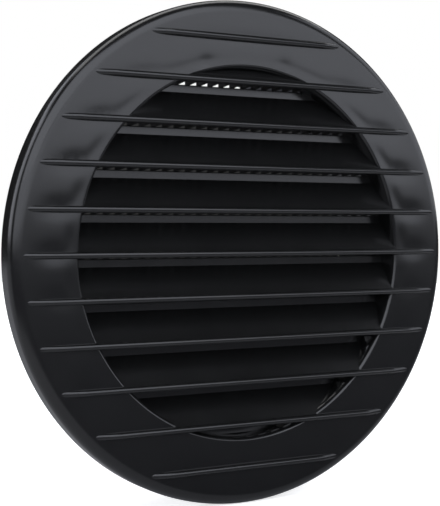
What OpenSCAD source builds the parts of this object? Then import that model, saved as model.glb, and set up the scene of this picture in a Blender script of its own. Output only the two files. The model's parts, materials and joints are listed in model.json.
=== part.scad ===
// Round vent grille: one moulding with a flange, louvre slats, insect bars and a duct spigot.
// The front faces -Y and the slats run along X.
// The origin is on the grille's axis, in the plane where the rim meets the wall.

/* [Flange] */
// Outside diameter of the flange
flange_d = 130; // [122:1:160]
// Depth of the rim, from the front face back to the wall
flange_depth = 6; // [5:0.5:9]
// Thickness of the flange plate and its rim
wall_t = 2; // [1.6:0.1:2.6]
// Radius of the rounded outer edge
edge_r = 3; // [2.8:0.1:4]
// Radius of the rounded lip round the opening
lip_r = 1.4; // [0.8:0.1:1.6]

/* [Spigot] */
// Outside diameter of the spigot, which enters the duct
spigot_d = 99; // [92:0.5:104]
// Wall of the spigot
spigot_t = 2.1; // [1.6:0.1:2.6]
// Length of the spigot behind the wall plane
spigot_len = 20; // [12:1:40]
// Lead-in chamfer on the end of the spigot
spigot_lead = 1; // [0.4:0.1:1.4]

/* [Ribs on the face] */
// Number of ribs down the face
rib_count = 11; // [9:2:11]
// Distance from one rib to the next
rib_pitch = 11; // [10.5:0.1:11.5]
// Thickness of a rib
rib_w = 1.6; // [1.2:0.1:1.8]
// Height of a rib above the face
rib_h = 1.2; // [1:0.1:1.6]
// Width of flat face left between the rib ends and the rounded edge
rib_margin = 0.2; // [0.1:0.1:3]
// Length over which a rib end sinks into the face
rib_end_run = 5; // [3:0.5:8]

/* [Louvre slats] */
// Thickness of a sloping blade
blade_t = 1.4; // [1.2:0.1:1.8]
// Depth from the face to the front of the upstands
blade_depth = 5.6; // [5:0.1:7]
// Height of the upstand on the back edge of a blade
upstand_h = 2; // [1.4:0.1:2.6]
// Thickness of an upstand, front to back
upstand_t = 1.2; // [0.8:0.1:1.6]
// Height seen straight on between an upstand and the rib above it
sight_gap = 0.35; // [0.3:0.05:1]

/* [Insect bars] */
// Thickness of an upright bar
bar_t = 0.95; // [0.7:0.05:1.4]
// Distance from one bar to the next
bar_pitch = 3.3; // [2.8:0.1:4.5]

/* [Hidden] */

flange_r = flange_d / 2;
spigot_r = spigot_d / 2;
bore_r = spigot_r - spigot_t;
turn_r = flange_r - edge_r;
rib_end_r = turn_r - rib_margin;
slat_back = blade_depth + upstand_t;

// Ribs reach down to the middle of the plate, and their ends slope into the face
rib_root = rib_h + wall_t / 2;
rib_tilt = atan(rib_h / rib_end_run);
rib_sink = 0.5;

// Heights on a blade, from the middle of its own rib
blade_foot = rib_w / 2;
upstand_top = rib_pitch - blade_foot - sight_gap;
upstand_foot = upstand_top - upstand_h;
blade_rise = (upstand_foot - blade_foot) / blade_depth;
blade_drop = blade_t * sqrt(1 + blade_rise * blade_rise);
blade_heel = (blade_drop - rib_w) / blade_rise;

// Slats end in the middle of the spigot wall, so that they are one with it
slat_end_r = bore_r + spigot_t / 2;

ROUND = 72;
FILLET = 16;

// Height of a rib above the grille's axis, with rib 0 at the top
function rib_z(i) = ((rib_count - 1) / 2 - i) * rib_pitch;

// Half the width of a circle at a height
function half_chord(r, z) = sqrt(max(0, r * r - z * z));

// Turns a section in (radius, depth) round the grille's axis
module round_axis() {
    rotate([-90, 0, 0]) rotate_extrude($fn = ROUND) children();
}

// Runs a section in (depth, height) along X, over a length that is centred
module along_x(length) {
    rotate([90, 0, 90]) linear_extrude(height = length, center = true) children();
}

// A quarter of a ring, on the outside of the rim and towards the face
module quarter_ring(r_out, r_in) {
    intersection() {
        difference() {
            circle(r_out, $fn = FILLET * 1.5);
            circle(r_in, $fn = FILLET * 1.5);
        }
        translate([0, -r_out]) square(r_out);
    }
}

// The material left in a square corner outside a circle
module corner_fillet(r) {
    difference() {
        square(r);
        translate([r, r]) circle(r, $fn = FILLET);
    }
}

// Plate, rounded edge and rim, in radius and depth
module flange_section() {
    translate([bore_r, 0]) square([turn_r - bore_r, wall_t]);
    translate([turn_r, edge_r]) quarter_ring(edge_r, edge_r - wall_t);
    translate([flange_r - wall_t, edge_r]) square([wall_t, flange_depth - edge_r]);
}

// Spigot with its lead-in and the fillet at its root
module spigot_section() {
    end = flange_depth + spigot_len;
    difference() {
        translate([bore_r, 0]) square([spigot_t, end]);
        translate([spigot_r, end]) rotate(45) square(spigot_lead * sqrt(2), center = true);
    }
    translate([spigot_r, wall_t]) corner_fillet(wall_t / 2);
}

// Flange and spigot as one, with the lip rounded off where they meet in the opening
module body_shell() {
    round_axis() difference() {
        union() {
            flange_section();
            spigot_section();
        }
        translate([bore_r, 0]) corner_fillet(lip_r);
    }
}

// Section of a rib: a half round on two straight sides, with its top at height 0
module rib_section() {
    translate([blade_foot, 0]) circle(blade_foot, $fn = FILLET);
    translate([blade_foot, -blade_foot]) square([rib_root - blade_foot, rib_w]);
}

// Everything past the mitre where a rib bends down, with the top of the bend at the origin
module past_mitre() {
    rotate([0, 0, rib_tilt / 2]) translate([0, -rib_end_run, -rib_end_run])
        cube(2 * rib_end_run);
}

// One end of a rib, which sinks into the face and goes on a little below it
module rib_end() {
    intersection() {
        rotate([0, 0, rib_tilt]) along_x(2 * (rib_end_run + rib_sink) / cos(rib_tilt)) rib_section();
        past_mitre();
        translate([-rib_end_run, -rib_h, -rib_w]) cube([3 * rib_end_run, rib_h + rib_root, 2 * rib_w]);
    }
}

module rib(i) {
    bend_x = half_chord(rib_end_r, rib_z(i)) - rib_end_run;
    translate([0, -rib_h, rib_z(i)]) {
        difference() {
            along_x(2 * bend_x + rib_w) rib_section();
            for (side = [0, 1]) mirror([side, 0, 0]) translate([bend_x, 0, 0]) past_mitre();
        }
        for (side = [0, 1]) mirror([side, 0, 0]) translate([bend_x, 0, 0]) rib_end();
    }
}

// Section of a blade: it climbs from its rib to an upstand at the back
module blade_section() {
    polygon([
        [0, -blade_foot],
        [blade_heel, -blade_foot],
        [slat_back, blade_rise * (slat_back - blade_heel) - blade_foot],
        [slat_back, upstand_top],
        [blade_depth, upstand_top],
        [blade_depth, upstand_foot],
        [0, blade_foot]
    ]);
}

// Section of a bar, from the upstand below up to the underside of a blade
module bar_section() {
    polygon([
        [blade_heel, -blade_foot],
        [blade_depth, upstand_top - rib_pitch],
        [slat_back, upstand_top - rib_pitch],
        [slat_back, blade_rise * (slat_back - blade_heel) - blade_foot]
    ]);
}

// The blades that reach into the opening, one for each rib
module all_slats() {
    for (i = [0 : rib_count - 1])
        if (rib_z(i) - blade_foot < bore_r && rib_z(i) + upstand_top > -bore_r)
            translate([0, rib_z(i)]) children();
}

module blades() {
    along_x(2 * slat_end_r) all_slats() blade_section();
}

module insect_bars() {
    half_count = floor((bore_r - bar_pitch / 2) / bar_pitch);
    for (n = [-half_count - 1 : half_count])
        translate([(n + 0.5) * bar_pitch, 0, 0])
            along_x(bar_t) all_slats() bar_section();
}

module louvre() {
    intersection() {
        union() {
            blades();
            insect_bars();
        }
        rotate([-90, 0, 0]) cylinder(h = slat_back, r = slat_end_r, $fn = ROUND);
    }
}

module grille() {
    color([0.12, 0.12, 0.13]) translate([0, -flange_depth, 0]) {
        for (i = [0 : rib_count - 1]) rib(i);
        body_shell();
        louvre();
    }
}

grille();
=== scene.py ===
# Round vent grille: the finished moulding with its lights, floor and camera

import json
import math

import bmesh
import bpy
from bpy.props import FloatProperty, FloatVectorProperty, IntProperty, PointerProperty
from mathutils import Matrix, Vector


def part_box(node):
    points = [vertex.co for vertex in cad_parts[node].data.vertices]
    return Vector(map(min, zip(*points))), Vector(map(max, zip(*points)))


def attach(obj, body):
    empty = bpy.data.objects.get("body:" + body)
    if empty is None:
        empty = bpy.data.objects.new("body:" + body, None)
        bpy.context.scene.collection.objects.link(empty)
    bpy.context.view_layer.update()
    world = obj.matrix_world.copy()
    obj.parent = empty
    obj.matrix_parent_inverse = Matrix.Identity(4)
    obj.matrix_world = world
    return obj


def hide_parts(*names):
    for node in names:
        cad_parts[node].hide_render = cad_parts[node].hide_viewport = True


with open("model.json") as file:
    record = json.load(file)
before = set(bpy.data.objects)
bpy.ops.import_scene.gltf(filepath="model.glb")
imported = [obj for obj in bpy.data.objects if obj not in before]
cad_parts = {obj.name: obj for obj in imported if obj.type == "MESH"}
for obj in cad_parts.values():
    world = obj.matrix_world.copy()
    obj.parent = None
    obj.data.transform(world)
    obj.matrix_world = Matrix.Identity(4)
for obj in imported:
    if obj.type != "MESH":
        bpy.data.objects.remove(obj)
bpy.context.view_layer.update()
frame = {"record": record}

bl_info = {
    "name": "Round vent grille",
    "version": (1, 0, 0),
    "blender": (4, 5, 0),
    "location": "3D View > Sidebar > Grille",
    "description": "Makes a louvred vent grille with its insect bars, and a studio round it",
    "category": "Add Mesh",
}

MM = 0.001
NODE = "grille"
SPIGOT = next(m for m in frame["record"]["mounts"] if m["name"] == "spigot")
LOW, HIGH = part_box(NODE)
FLANGE_R = round((HIGH.x - LOW.x) / 2 / MM) * MM

# The wall plane is at depth 0 in the frame, so the face lies the flange's depth in front of it
RIB_RISE = 1.2 * MM
FACE_Y = round((LOW.y + RIB_RISE) / MM, 1) * MM

# Distance within which two places are the same
SAME = 1e-7

# Steps along the lip, the flat face, the rounded edge, the inside of that edge and the spigot's root
LIP_STEPS = 16
FACE_STEPS = 30
EDGE_STEPS = 14
INSIDE_STEPS = 6
ROOT_STEPS = 5

# The inner edge at the spigot's end is broken by this much
SPIGOT_BREAK = 0.2 * MM

# Sink marks as (place, half width), upwards from a rib or outwards from the lip
RIB_MARK_RISE = 0.4 * MM
RIB_MARK_RING = (5.5 * MM, 4.5 * MM)
LIP_MARK_RISE = (3.5 * MM, 2.8 * MM)
LIP_MARK_RING = (1.8 * MM, 1.6 * MM)
LIP_MARK_SHARE = 0.6

# Below the axis the marks lose this share of their depth, over this share of the flange's radius
LOWER_LOSS = 0.6
LOWER_RUN = 0.25

# Two more marks lie over the opening, at these places in (x, z)
TOP_MARKS = ((-13 * MM, 48.4 * MM), (11 * MM, 48.9 * MM))
TOP_MARK_WIDTH = 2.4 * MM

# The marks fade out over this much of the face before the rounded edge
FACE_FADE = 2 * MM

# A rib goes on past its tip by this much, and no deeper than this share of the plate
RIB_OVERRUN = 0.5 * MM
RIB_FOOT = 0.7

# Each side of a rib's crown is rounded over this share of the rib's width
CROWN_SHARE = 0.48
CROWN_STEPS = 6

# A rib's end bends down smoothly over this length on either side of the bend
BEND = 1.2 * MM
BEND_STEP = 0.6 * MM
BEND_CUTS = 7

# The comb of insect bars runs into blades and upstands, and stops short of their backs
COMB_SHORT = 0.08 * MM
COMB_CORE = 0.6
COMB_HEEL = (0.15 * MM, 0.3 * MM)
COMB_TOP = 0.5 * MM
COMB_STEP = 0.2 * MM

# Length of the plug that trims the louvre, which is more than the louvre is deep
TRIM_LENGTH = 40 * MM

# Edges that turn by more than this many degrees stay sharp
CORNER = 28

# Slots that tell shell, ribs and louvre apart until the edges between them are marked
SHELL, RIBS, LOUVRE = range(3)


def length(name, text, default):
    """A length that a user can set, shown to a hundredth of a millimetre"""
    return FloatProperty(name=name, description=text, default=default, unit="LENGTH", precision=5)


def radiance_value(name, place, default):
    """The radiance of a light, which a user can set"""
    return FloatProperty(name=name, description=f"Radiance of {place}", default=default, min=0)


def colour_value(name, text, default, most=1.0):
    """A colour that a user can set"""
    return FloatVectorProperty(name=name, description=text, subtype="COLOR", default=default, min=0, max=most)


class GrilleForm(bpy.types.PropertyGroup):
    """Sizes of the moulding"""

    flange_r: length("Flange radius", "Outside radius of the flange", FLANGE_R)
    wall: length("Wall", "Thickness of the plate and its rim", 2 * MM)
    edge_r: length("Edge radius", "Radius of the rounded outer edge", 3 * MM)
    lip_w: length("Lip width", "Width of the rounded lip round the opening", 1 * MM)
    lip_d: length("Lip depth", "Depth to which the lip runs into the opening", 1.9 * MM)
    spigot_r: length("Spigot radius", "Outside radius of the spigot", SPIGOT["dims"]["r_mm"] * MM)
    spigot_t: length("Spigot wall", "Thickness of the spigot's wall", 2.1 * MM)
    lead: length("Lead-in", "Chamfer on the end of the spigot", 1 * MM)
    rib_pitch: length("Rib pitch", "Distance from one rib to the next", 11 * MM)
    rib_w: length("Rib width", "Thickness of a rib", 1.6 * MM)
    rib_rise: length("Rib height", "Height of a rib above the face", RIB_RISE)
    rib_run: length("Rib end", "Length over which a rib end sinks into the face", 5 * MM)
    rib_margin: length("Rib margin", "Flat face between a rib end and the rounded edge", 0.2 * MM)
    blade_depth: length("Blade depth", "Depth from the face to the upstands", 5.6 * MM)
    blade_t: length("Blade thickness", "Thickness of a sloping blade", 1.4 * MM)
    upstand_h: length("Upstand height", "Height of the upstand on a blade", 2 * MM)
    upstand_t: length("Upstand thickness", "Thickness of an upstand", 1.2 * MM)
    sight_gap: length("Sight gap", "Height seen straight on above an upstand", 0.35 * MM)
    bar_t: length("Bar thickness", "Thickness of an upright insect bar", 0.95 * MM)
    bar_pitch: length("Bar pitch", "Distance from one insect bar to the next", 3.3 * MM)
    sink: length("Sink mark", "Depth of the sink marks beside the ribs", 0.17 * MM)
    sink_w: length("Sink width", "Half width of a sink mark", 2.2 * MM)
    rib_count: IntProperty(name="Ribs", description="Number of ribs down the face", default=11, min=3)
    steps: IntProperty(name="Steps", description="Steps round the flange", default=288, min=32)


class GrilleFinish(bpy.types.PropertyGroup):
    """Colour and gloss of the plastic"""

    colour: colour_value("Colour", "Colour of the plastic", (0.0047, 0.0048, 0.0048))
    roughness: FloatProperty(
        name="Roughness", description="Mean roughness of the skin", default=0.2, subtype="FACTOR",
    )
    flow: length("Flow marks", "Size of the flow marks in the skin", 9 * MM)


class StudioSet(bpy.types.PropertyGroup):
    """Floor and lights"""

    floor_colour: colour_value("Floor", "Colour of the floor", (0.8, 0.8, 0.8))
    tint: colour_value("Tint", "Colour of the upright light boxes", (0.95, 0.98, 1.08), most=2.0)
    box_light: radiance_value("Low boxes", "the two low light boxes ahead", 1.9)
    high_light: radiance_value("High boxes", "the two boxes above them", 2.4)
    strip_light: radiance_value("Strip", "the strip behind on the left", 2.6)
    back_light: radiance_value("Back box", "the high box behind on the left", 1.9)
    side_light: radiance_value("Side box", "the box on the right", 1.15)
    top_light: radiance_value("Top box", "the box overhead", 2.2)
    fill: radiance_value("Fill", "the room", 0.03)


def arc(centre, radius, start, end, steps):
    """Points of an arc, from one angle in degrees to another"""
    turns = [math.radians(start + (end - start) * k / steps) for k in range(steps + 1)]
    return [(centre[0] + radius * math.cos(a), centre[1] + radius * math.sin(a)) for a in turns]


def stretch(start, end, steps):
    """Points between two places, without the places themselves"""
    return [tuple(a + (b - a) * k / steps for a, b in zip(start, end)) for k in range(1, steps)]


def half_chord(radius, z):
    """Half the width of a circle at a height"""
    return math.sqrt(max(0.0, radius * radius - z * z))


def rib_height(f, i):
    """Height of a rib above the axis, with rib 0 at the top"""
    return ((f.rib_count - 1) / 2 - i) * f.rib_pitch


def rib_tip(f, z):
    """How far from the middle a rib ends"""
    return half_chord(turn_radius(f) - f.rib_margin, z)


def bore(f):
    """Radius of the opening"""
    return f.spigot_r - f.spigot_t


def lip_end(f):
    """Radius at which the rounded lip meets the flat face"""
    return bore(f) + f.lip_w


def turn_radius(f):
    """Radius at which the flat face ends and the rounded edge begins"""
    return f.flange_r - f.edge_r


def object_of(bm, name):
    """An object made of a bmesh, with its faces turned outwards"""
    bmesh.ops.recalc_face_normals(bm, faces=bm.faces)
    mesh = bpy.data.meshes.new(name)
    bm.to_mesh(mesh)
    bm.free()
    made = bpy.data.objects.new(name, mesh)
    bpy.context.scene.collection.objects.link(made)
    return made


def combine(target, tool, operation):
    """Joins, cuts or trims one closed mesh by another, and takes the other away"""
    cut = target.modifiers.new(operation, "BOOLEAN")
    cut.operation = operation
    cut.solver = "MANIFOLD"
    cut.object = tool
    bpy.context.view_layer.update()
    depsgraph = bpy.context.evaluated_depsgraph_get()
    mesh = bpy.data.meshes.new_from_object(target.evaluated_get(depsgraph))
    target.modifiers.clear()
    if not mesh.polygons:
        raise RuntimeError(f"{operation} of {target.name} with {tool.name} left nothing")
    old = target.data
    target.data = mesh
    bpy.data.meshes.remove(old)
    bpy.data.objects.remove(tool)


def shell_section(f):
    """Closed outline of plate, rim and spigot in (radius, depth), from the lip outwards"""
    turn_r = turn_radius(f)
    bore_r = bore(f)
    back = -FACE_Y
    end = HIGH.y - FACE_Y
    root = f.wall / 2
    lip = arc((1, 1), 1, 180, 270, LIP_STEPS)
    points = [(bore_r + f.lip_w * across, f.lip_d * down) for across, down in lip]
    points += stretch((lip_end(f), 0), (turn_r, 0), FACE_STEPS)
    points += arc((turn_r, f.edge_r), f.edge_r, -90, 0, EDGE_STEPS)
    points += [(f.flange_r, back), (f.flange_r - f.wall, back)]
    points += arc((turn_r, f.edge_r), f.edge_r - f.wall, 0, -90, INSIDE_STEPS)
    points += arc((f.spigot_r + root, f.wall + root), root, 270, 180, ROOT_STEPS)
    points += [(f.spigot_r, end - f.lead), (f.spigot_r - f.lead, end)]
    points += [(bore_r + SPIGOT_BREAK, end), (bore_r, end - SPIGOT_BREAK)]
    return points


def dip(place, middle, half_width):
    """Share of a smooth dip's depth that is left at a place"""
    return math.exp(-(((place - middle) / half_width) ** 2))


def sink_depth(f, x, z):
    """Depth of the sink marks on the face: beside the ribs, round the lip, and over the opening"""
    from_lip = math.hypot(x, z) - lip_end(f)
    heights = [z - rib_height(f, i) for i in range(f.rib_count)]
    beside_ribs = sum(dip(h, RIB_MARK_RISE, f.sink_w) for h in heights)
    beside_lip = sum(dip(h, *LIP_MARK_RISE) for h in heights)
    depth = dip(from_lip, *RIB_MARK_RING) * beside_ribs
    depth += LIP_MARK_SHARE * dip(from_lip, *LIP_MARK_RING) * beside_lip
    below = max(0.0, -z / f.flange_r)
    depth *= 1 - LOWER_LOSS * min(1.0, below / LOWER_RUN)
    for place_x, place_z in TOP_MARKS:
        depth += dip(math.hypot(x - place_x, z - place_z), 0, TOP_MARK_WIDTH)
    return f.sink * depth


def build_shell(f):
    """Plate, rim and spigot turned round the axis, with the sink marks in the face"""
    bm = bmesh.new()
    verts = [bm.verts.new((r, FACE_Y + depth, 0)) for r, depth in shell_section(f)]
    edges = [bm.edges.new((a, b)) for a, b in zip(verts, verts[1:] + verts[:1])]
    bmesh.ops.spin(
        bm, geom=verts + edges, cent=(0, 0, 0), axis=(0, 1, 0),
        angle=math.tau, steps=f.steps, use_merge=True,
    )
    turn_r = turn_radius(f)
    for v in bm.verts:
        inwards = (turn_r - math.hypot(v.co.x, v.co.z)) / FACE_FADE
        forwards = (FACE_Y + f.wall / 2 - v.co.y) / (f.wall / 2)
        share = min(1.0, inwards, forwards)
        if share > 0:
            v.co.y += sink_depth(f, v.co.x, v.co.z) * share
    return object_of(bm, "moulding")


def straight_ribs(bm, f):
    """Straight ribs with a rounded crown, which reach down into the plate"""
    root = f.wall / 2
    crest_y = FACE_Y - f.rib_rise
    for i in range(f.rib_count):
        z = rib_height(f, i)
        reach = rib_tip(f, z) + RIB_OVERRUN
        made = bmesh.ops.create_cube(bm, size=1)["verts"]
        for v in made:
            v.co.x *= 2 * reach
            v.co.y = FACE_Y + (v.co.y + 0.5) * (f.rib_rise + root) - f.rib_rise
            v.co.z = v.co.z * f.rib_w + z
        crest = [
            e for e in {e for v in made for e in v.link_edges}
            if all(abs(v.co.y - crest_y) < SAME for v in e.verts)
            and abs(e.verts[0].co.x - e.verts[1].co.x) > reach
        ]
        bmesh.ops.bevel(
            bm, geom=crest, offset=f.rib_w * CROWN_SHARE, offset_type="OFFSET", affect="EDGES",
            segments=CROWN_STEPS, profile=0.5, material=-1,
        )
    bmesh.ops.remove_doubles(bm, verts=bm.verts, dist=SAME)


def bend_ends(bm, f, z):
    """Bends both ends of the rib at a height, so that they sink into the face"""
    bend = rib_tip(f, z) - f.rib_run
    for side in (-1, 1):
        for cut in range(BEND_CUTS):
            place = side * (bend - BEND + cut * BEND_STEP)
            mine = [face for face in bm.faces if abs(face.calc_center_median().z - z) < f.rib_w]
            geom = mine + list({e for face in mine for e in face.edges})
            geom += list({v for face in mine for v in face.verts})
            bmesh.ops.bisect_plane(bm, geom=geom, plane_co=(place, 0, 0), plane_no=(1, 0, 0))
    for v in bm.verts:
        if abs(v.co.z - z) > f.rib_w:
            continue
        past = (abs(v.co.x) - bend) / BEND
        eased = max(0.0, past) if abs(past) > 1 else (past + 1) ** 2 / 4
        v.co.y += eased * BEND * f.rib_rise / f.rib_run
        v.co.y = min(v.co.y, FACE_Y + f.wall * RIB_FOOT)


def build_ribs(f):
    """The ribs across the face"""
    bm = bmesh.new()
    straight_ribs(bm, f)
    for i in range(f.rib_count):
        bend_ends(bm, f, rib_height(f, i))
    return object_of(bm, "ribs")


def prism(bm, section, x_from, x_to):
    """A section in (depth, height) run along X"""
    verts = [bm.verts.new((x_from, FACE_Y + d, z)) for d, z in section]
    face = bm.faces.new(verts)
    grown = bmesh.ops.extrude_face_region(bm, geom=[face])["geom"]
    moved = [g for g in grown if isinstance(g, bmesh.types.BMVert)]
    bmesh.ops.translate(bm, verts=moved, vec=(x_to - x_from, 0, 0))


class Blade:
    """Heights and depths on a blade, from the middle of its own rib"""

    def __init__(self, f):
        self.foot = f.rib_w / 2
        self.top = f.rib_pitch - self.foot - f.sight_gap
        self.step = self.top - f.upstand_h
        self.front = f.blade_depth
        self.back = f.blade_depth + f.upstand_t
        self.rise = (self.step - self.foot) / f.blade_depth
        drop = f.blade_t * math.sqrt(1 + self.rise * self.rise)
        self.heel = (drop - f.rib_w) / self.rise
        # The underside starts inside the rib, and at the heel it is still just inside it
        self.into_rib = 0.3 * MM
        self.start = 0.8 * self.foot
        self.heel_drop = 0.99 * self.foot
        # The top of the upstand is rounded, with a short flat under each rounding
        self.round = 0.22 * MM
        self.round_steps = 3
        self.flat = 0.04 * MM

    def under(self, depth):
        """Height of the underside at a depth"""
        return self.rise * (depth - self.heel) - self.foot

    def section(self):
        """Outline of a blade in (depth, height), from its rib along the underside and back over the top"""
        r = self.round
        shoulder = self.top - r - self.flat
        points = [(-self.into_rib, -self.start), (self.heel, -self.heel_drop)]
        points += [(self.back, self.under(self.back)), (self.back, shoulder)]
        points += arc((self.back - r, self.top - r), r, 0, 90, self.round_steps)
        points += arc((self.front + r, self.top - r), r, 90, 180, self.round_steps)
        points += [(self.front, shoulder), (self.front, self.step)]
        points += [(-self.into_rib, self.foot - self.rise * self.into_rib)]
        return points


def louvre_rows(f):
    """Heights of the ribs whose blades reach into the opening"""
    bore_r = bore(f)
    blade = Blade(f)
    heights = [rib_height(f, i) for i in range(f.rib_count)]
    return [z for z in heights if z - blade.foot < bore_r and z + blade.top > -bore_r]


def build_blades(f):
    """The sloping blades with their upstands"""
    bm = bmesh.new()
    for z in louvre_rows(f):
        prism(bm, [(d, h + z) for d, h in Blade(f).section()], -f.spigot_r, f.spigot_r)
    return object_of(bm, "blades")


def build_bars(f):
    """Upright insect bars, each a comb that fills the space under every blade"""
    bm = bmesh.new()
    blade = Blade(f)
    back = blade.back - COMB_SHORT
    core = blade.front + f.upstand_t * COMB_CORE
    into_heel, above_foot = COMB_HEEL
    rows = louvre_rows(f)
    outline = []
    for z in rows:
        below = z - f.rib_pitch
        outline += [(blade.heel + into_heel, z - blade.foot + above_foot)]
        outline += [(blade.front, below + blade.top), (core, below + blade.top - COMB_TOP)]
        outline += [(core, below + blade.step - COMB_STEP)]
    outline += [(back, rows[-1] - f.rib_pitch), (back, rows[0])]
    half_count = math.floor((bore(f) - f.bar_pitch / 2) / f.bar_pitch)
    for n in range(-half_count - 1, half_count + 1):
        x = (n + 0.5) * f.bar_pitch
        prism(bm, outline, x - f.bar_t / 2, x + f.bar_t / 2)
    return object_of(bm, "bars")


def build_trim(f):
    """Round plug that the louvre is trimmed to, which ends inside the spigot's wall"""
    bm = bmesh.new()
    radius = f.spigot_r - f.spigot_t / 2
    made = bmesh.ops.create_cone(
        bm, cap_ends=True, segments=f.steps, radius1=radius, radius2=radius, depth=TRIM_LENGTH,
        matrix=Matrix.Rotation(math.pi / 2, 4, "X"),
    )
    bmesh.ops.translate(bm, verts=made["verts"], vec=(0, FACE_Y, 0))
    return object_of(bm, "trim")


def keep_apart(piece, skin, index):
    """Gives all faces of a piece one slot, so that its edges can be found once it is joined to others"""
    for _ in (SHELL, RIBS, LOUVRE):
        piece.data.materials.append(skin)
    piece.data.polygons.foreach_set("material_index", [index] * len(piece.data.polygons))
    return piece


def shade(mesh):
    """Smooth faces, with sharp edges at every corner and where shell, ribs and louvre meet"""
    mesh.polygons.foreach_set("use_smooth", [True] * len(mesh.polygons))
    mesh.set_sharp_from_angle(angle=math.radians(CORNER))
    bm = bmesh.new()
    bm.from_mesh(mesh)
    for edge in bm.edges:
        if len({face.material_index for face in edge.link_faces}) > 1:
            edge.smooth = False
    for face in bm.faces:
        face.material_index = 0
    bm.to_mesh(mesh)
    bm.free()


# The skin: scale, height and strength of its fine grain, and how far gloss and colour vary over it
GRAIN_SCALE = 2600.0
GRAIN_HEIGHT = 0.01 * MM
GRAIN_STRENGTH = 0.03
GLOSS_SPREAD = 0.05
COLOUR_SPREAD = 0.15
PLASTIC_IOR = 1.5


def math_node(nodes, links, operation, first, second=None, third=None):
    """A maths node fed by sockets or plain numbers"""
    node = nodes.new("ShaderNodeMath")
    node.operation = operation
    for place, given in zip(node.inputs, (first, second, third)):
        if isinstance(given, (int, float)):
            place.default_value = given
        elif given is not None:
            links.new(given, place)
    return node.outputs[0]


def colour_mix(nodes, links, share, first, second):
    """A colour between two, by the share that a socket gives"""
    node = nodes.new("ShaderNodeMix")
    node.data_type = "RGBA"
    node.inputs["A"].default_value = (*first, 1)
    node.inputs["B"].default_value = (*second, 1)
    links.new(share, node.inputs["Factor"])
    return node.outputs["Result"]


def ramp(nodes, links, value, start, end):
    """A smooth rise from 0 to 1 between two values"""
    node = nodes.new("ShaderNodeMapRange")
    node.interpolation_type = "SMOOTHSTEP"
    node.inputs["From Min"].default_value = start
    node.inputs["From Max"].default_value = end
    links.new(value, node.inputs["Value"])
    return node.outputs["Result"]


def skin_variation():
    """Shader group for moulded plastic: flow marks and a fine grain, for gloss, colour and height"""
    group = bpy.data.node_groups.new("Moulded skin", "ShaderNodeTree")
    group.interface.new_socket(name="Vector", in_out="INPUT", socket_type="NodeSocketVector")
    for name in ("Flow scale", "Grain scale", "Roughness", "Spread"):
        group.interface.new_socket(name=name, in_out="INPUT", socket_type="NodeSocketFloat")
    for name in ("Roughness", "Tone", "Height"):
        group.interface.new_socket(name=name, in_out="OUTPUT", socket_type="NodeSocketFloat")
    nodes, links = group.nodes, group.links
    given = nodes.new("NodeGroupInput").outputs
    result = nodes.new("NodeGroupOutput").inputs
    noises = []
    for scale, detail in (("Flow scale", 2.0), ("Grain scale", 3.0)):
        noise = nodes.new("ShaderNodeTexNoise")
        noise.inputs["Detail"].default_value = detail
        links.new(given["Vector"], noise.inputs["Vector"])
        links.new(given[scale], noise.inputs["Scale"])
        noises.append(noise.outputs["Fac"])
    flow, grain = noises
    centred = math_node(nodes, links, "SUBTRACT", flow, 0.5)
    rough = math_node(nodes, links, "MULTIPLY_ADD", centred, given["Spread"], given["Roughness"])
    links.new(rough, result["Roughness"])
    links.new(flow, result["Tone"])
    links.new(grain, result["Height"])
    return group


def plastic():
    """Satin black plastic"""
    finish = bpy.context.scene.vent_finish
    material = bpy.data.materials.new("Satin black plastic")
    material.use_nodes = True
    nodes, links = material.node_tree.nodes, material.node_tree.links
    shader = nodes["Principled BSDF"]
    place = nodes.new("ShaderNodeTexCoord")
    skin = nodes.new("ShaderNodeGroup")
    skin.node_tree = skin_variation()
    skin.inputs["Flow scale"].default_value = 1 / finish.flow
    skin.inputs["Grain scale"].default_value = GRAIN_SCALE
    skin.inputs["Roughness"].default_value = finish.roughness
    skin.inputs["Spread"].default_value = GLOSS_SPREAD
    links.new(place.outputs["Object"], skin.inputs["Vector"])
    links.new(skin.outputs["Roughness"], shader.inputs["Roughness"])
    colour = Vector(finish.colour)
    darker, lighter = colour * (1 - COLOUR_SPREAD), colour * (1 + COLOUR_SPREAD)
    tone = colour_mix(nodes, links, skin.outputs["Tone"], darker, lighter)
    links.new(tone, shader.inputs["Base Color"])
    bump = nodes.new("ShaderNodeBump")
    bump.inputs["Strength"].default_value = GRAIN_STRENGTH
    bump.inputs["Distance"].default_value = GRAIN_HEIGHT
    links.new(skin.outputs["Height"], bump.inputs["Height"])
    links.new(bump.outputs["Normal"], shader.inputs["Normal"])
    shader.inputs["IOR"].default_value = PLASTIC_IOR
    return material


class OBJECT_OT_vent_moulding(bpy.types.Operator):
    """Makes the grille's one moulding, and puts it in the place of its solid"""

    bl_idname = "vent.moulding"
    bl_label = "Grille moulding"
    bl_options = {"REGISTER", "UNDO"}

    def execute(self, context):
        f = context.scene.vent_form
        skin = plastic()
        louvre = keep_apart(build_blades(f), skin, LOUVRE)
        combine(louvre, keep_apart(build_bars(f), skin, LOUVRE), "UNION")
        combine(louvre, keep_apart(build_trim(f), skin, LOUVRE), "INTERSECT")
        moulding = keep_apart(build_shell(f), skin, SHELL)
        combine(moulding, keep_apart(build_ribs(f), skin, RIBS), "UNION")
        combine(moulding, louvre, "UNION")
        moulding.name = "grille_moulding"
        moulding.data.name = "grille_moulding"
        shade(moulding.data)
        moulding.data.materials.clear()
        moulding.data.materials.append(skin)
        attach(moulding, "root")
        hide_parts(NODE)
        return {"FINISHED"}


# The camera of the photo, whose lens is worked out from its focal length in pixels
VIEW_PLACE = (-0.16981, -0.27643, 0.00802)
VIEW_TURN = (88.572, -0.154, -30.774)
FOCAL_PX = 1240.0
PHOTO_LONG_SIDE_PX = 506
SENSOR = 36.0
CLIP_START = 0.01

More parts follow.
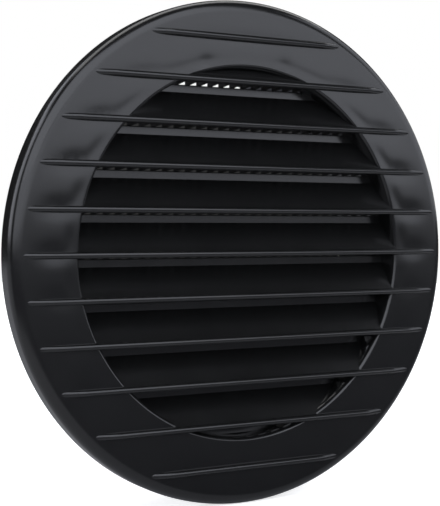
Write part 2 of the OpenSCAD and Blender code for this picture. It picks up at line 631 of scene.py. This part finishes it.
# Radius of the room in metres, and the height from which the light boxes' elevations are taken
ROOM = 1.2
ROOM_STEPS = 96
HORIZON = VIEW_PLACE[2]

# Width, depth and place of the box overhead
TOP_SIZE = (2.4, 0.7)
TOP_PLACE = (0.5, 0.56, 1.4)

# Lift that makes the floor white to the camera, and the colour and least share of the painted dark reflection
# that glossy rays see in it
FLOOR_LIFT = 0.7
PAINTED_REFLECTION_DARK = (0.12, 0.12, 0.13)
FLOOR_LEAST = 0.4

# Where that dark sets in and is full: by Facing for a shallow angle, else by place in metres
SHALLOW = (0.45, 0.7)
AHEAD = (0.04, -0.02)
BEHIND = (0.0, 0.04)
RIGHT = (-0.03, 0.01)
NEAR = (0.5, 0.4)

# Painted shade: a dark area of the room's background, which the disc hides in the camera's view but for what
# the louvre lets through
# Its middle and half width run from +Y towards +X, then come its lowest and highest elevation, in degrees
PAINTED_SHADE_BEARING = (30.1, 5.9)
PAINTED_SHADE_RISE = (-2.4, 4.6)


def area_lamp(name, width, height, radiance):
    """A rectangle of light that the camera doesn't see, with its power worked out from its radiance"""
    lamp = bpy.data.lights.new(name, "AREA")
    lamp.shape = "RECTANGLE"
    lamp.size = width
    lamp.size_y = height
    lamp.energy = radiance * math.pi * width * height
    box = bpy.data.objects.new(name, lamp)
    box.visible_camera = False
    bpy.context.scene.collection.objects.link(box)
    return box


def light_box(name, turn, spread, low, high, radiance):
    """An upright box: turn and spread in degrees from the front towards the left, then its elevations"""
    width = 2 * ROOM * math.tan(math.radians(spread / 2))
    foot, head = (ROOM * math.tan(math.radians(a)) for a in (low, high))
    box = area_lamp(name, width, head - foot, radiance)
    box.data.color = bpy.context.scene.vent_studio.tint
    a = math.radians(turn)
    middle = Vector((-ROOM * math.sin(a), -ROOM * math.cos(a), HORIZON + (foot + head) / 2))
    box.location = middle
    box.rotation_euler = Vector((middle.x, middle.y, 0)).to_track_quat("Z", "Y").to_euler()


def floor_material(colour):
    """White to the camera; to glossy rays painted darker as a painted dark reflection, most at a shallow
    angle ahead and near behind on the right
    """
    material = bpy.data.materials.new("Studio floor")
    material.use_nodes = True
    nodes, links = material.node_tree.nodes, material.node_tree.links
    shader = nodes["Principled BSDF"]
    ray = nodes.new("ShaderNodeLightPath")
    glancing = nodes.new("ShaderNodeLayerWeight")
    glancing.inputs["Blend"].default_value = 0.5
    shallow = ramp(nodes, links, glancing.outputs["Facing"], *SHALLOW)
    place = nodes.new("ShaderNodeSeparateXYZ")
    links.new(nodes.new("ShaderNodeTexCoord").outputs["Object"], place.inputs[0])
    ahead = ramp(nodes, links, place.outputs["Y"], *AHEAD)
    behind = ramp(nodes, links, place.outputs["Y"], *BEHIND)
    right = ramp(nodes, links, place.outputs["X"], *RIGHT)
    near = ramp(nodes, links, place.outputs["Y"], *NEAR)
    near_right = math_node(nodes, links, "MULTIPLY", right, near)
    dark_ahead = math_node(nodes, links, "MULTIPLY", shallow, ahead)
    dark_behind = math_node(nodes, links, "MULTIPLY", behind, near_right)
    dark = math_node(nodes, links, "MAXIMUM", dark_ahead, dark_behind)
    dark = math_node(nodes, links, "MAXIMUM", dark, FLOOR_LEAST)
    # Painted reflection: the floor turns dark only for glossy rays
    gloss = math_node(nodes, links, "MULTIPLY", dark, ray.outputs["Is Glossy Ray"])
    links.new(colour_mix(nodes, links, gloss, colour, PAINTED_REFLECTION_DARK), shader.inputs["Base Color"])
    shader.inputs["Roughness"].default_value = 0.9
    shader.inputs["Specular IOR Level"].default_value = 0.0
    shader.inputs["Emission Color"].default_value = (1, 1, 1, 1)
    lift = math_node(nodes, links, "MULTIPLY", ray.outputs["Is Camera Ray"], FLOOR_LIFT)
    links.new(lift, shader.inputs["Emission Strength"])
    return material


def build_floor(height, colour):
    """A round floor at a height"""
    bm = bmesh.new()
    made = bmesh.ops.create_circle(bm, cap_ends=True, segments=ROOM_STEPS, radius=ROOM)
    bmesh.ops.translate(bm, verts=made["verts"], vec=(0, 0, height))
    floor = object_of(bm, "floor")
    floor.data.materials.append(floor_material(colour))
    return floor


def room_world(fill):
    """White to the camera, but for an area of painted shade seen through the louvre, and dim to all other
    rays
    """
    world = bpy.data.worlds.new("Studio room")
    bpy.context.scene.world = world
    world.use_nodes = True
    nodes, links = world.node_tree.nodes, world.node_tree.links
    ray = nodes.new("ShaderNodeLightPath")
    towards = nodes.new("ShaderNodeSeparateXYZ")
    links.new(nodes.new("ShaderNodeTexCoord").outputs["Generated"], towards.inputs[0])
    bearing = math_node(nodes, links, "ARCTAN2", towards.outputs["X"], towards.outputs["Y"])
    middle, half = (math.radians(a) for a in PAINTED_SHADE_BEARING)
    across = math_node(nodes, links, "COMPARE", bearing, middle, half)
    low, high = (math.sin(math.radians(a)) for a in PAINTED_SHADE_RISE)
    upright = math_node(nodes, links, "COMPARE", towards.outputs["Z"], (low + high) / 2, (high - low) / 2)
    # Painted shade: the room turns dark to camera rays inside this area
    painted_shade = math_node(nodes, links, "MULTIPLY", across, upright)
    seen = math_node(nodes, links, "SUBTRACT", 1.0, painted_shade)
    shown = math_node(nodes, links, "MULTIPLY", seen, ray.outputs["Is Camera Ray"])
    colour = colour_mix(nodes, links, shown, (fill, fill, fill), (1, 1, 1))
    links.new(colour, nodes["Background"].inputs["Color"])


def place_camera():
    """The camera at the photo's angle"""
    camera = bpy.data.objects.new("camera", bpy.data.cameras.new("camera"))
    camera.location = VIEW_PLACE
    camera.rotation_euler = [math.radians(a) for a in VIEW_TURN]
    camera.data.sensor_width = SENSOR
    camera.data.lens = FOCAL_PX / PHOTO_LONG_SIDE_PX * SENSOR
    camera.data.clip_start = CLIP_START
    bpy.context.scene.collection.objects.link(camera)
    bpy.context.scene.camera = camera


class SCENE_OT_vent_studio(bpy.types.Operator):
    """Makes the floor, the lights, the room and the camera"""

    bl_idname = "vent.studio"
    bl_label = "Studio"
    bl_options = {"REGISTER", "UNDO"}

    def execute(self, context):
        studio = context.scene.vent_studio
        build_floor(-context.scene.vent_form.flange_r, studio.floor_colour)
        light_box("box_right", turn=-30, spread=60, low=1.2, high=19, radiance=studio.box_light)
        light_box("box_left", turn=36, spread=72, low=1.2, high=19, radiance=studio.box_light)
        light_box("high_right", turn=-12, spread=48, low=19, high=62, radiance=studio.high_light)
        light_box("high_left", turn=43, spread=62, low=19, high=66, radiance=studio.high_light)
        light_box("strip_left", turn=111, spread=34, low=3, high=45, radiance=studio.strip_light)
        light_box("back_left", turn=145, spread=40, low=32, high=52, radiance=studio.back_light)
        light_box("side_right", turn=-80, spread=46, low=3, high=45, radiance=studio.side_light)
        area_lamp("top_box", *TOP_SIZE, studio.top_light).location = TOP_PLACE
        room_world(studio.fill)
        place_camera()
        context.scene.view_settings.view_transform = "Standard"
        return {"FINISHED"}


class VIEW3D_PT_vent(bpy.types.Panel):
    """Lists the grille's sizes, its finish and its studio"""

    bl_idname = "VIEW3D_PT_vent"
    bl_label = "Round vent grille"
    bl_space_type = "VIEW_3D"
    bl_region_type = "UI"
    bl_category = "Grille"

    def draw(self, context):
        for group in (context.scene.vent_form, context.scene.vent_finish, context.scene.vent_studio):
            for name in group.__annotations__:
                self.layout.prop(group, name)
        self.layout.operator("vent.moulding")
        self.layout.operator("vent.studio")


CLASSES = (
    GrilleForm, GrilleFinish, StudioSet, OBJECT_OT_vent_moulding, SCENE_OT_vent_studio, VIEW3D_PT_vent,
)


def register():
    for cls in CLASSES:
        bpy.utils.register_class(cls)
    bpy.types.Scene.vent_form = PointerProperty(type=GrilleForm)
    bpy.types.Scene.vent_finish = PointerProperty(type=GrilleFinish)
    bpy.types.Scene.vent_studio = PointerProperty(type=StudioSet)


def unregister():
    del bpy.types.Scene.vent_studio
    del bpy.types.Scene.vent_finish
    del bpy.types.Scene.vent_form
    for cls in reversed(CLASSES):
        bpy.utils.unregister_class(cls)


def main():
    register()
    bpy.ops.vent.moulding()
    bpy.ops.vent.studio()


if __name__ == "__main__":
    main()
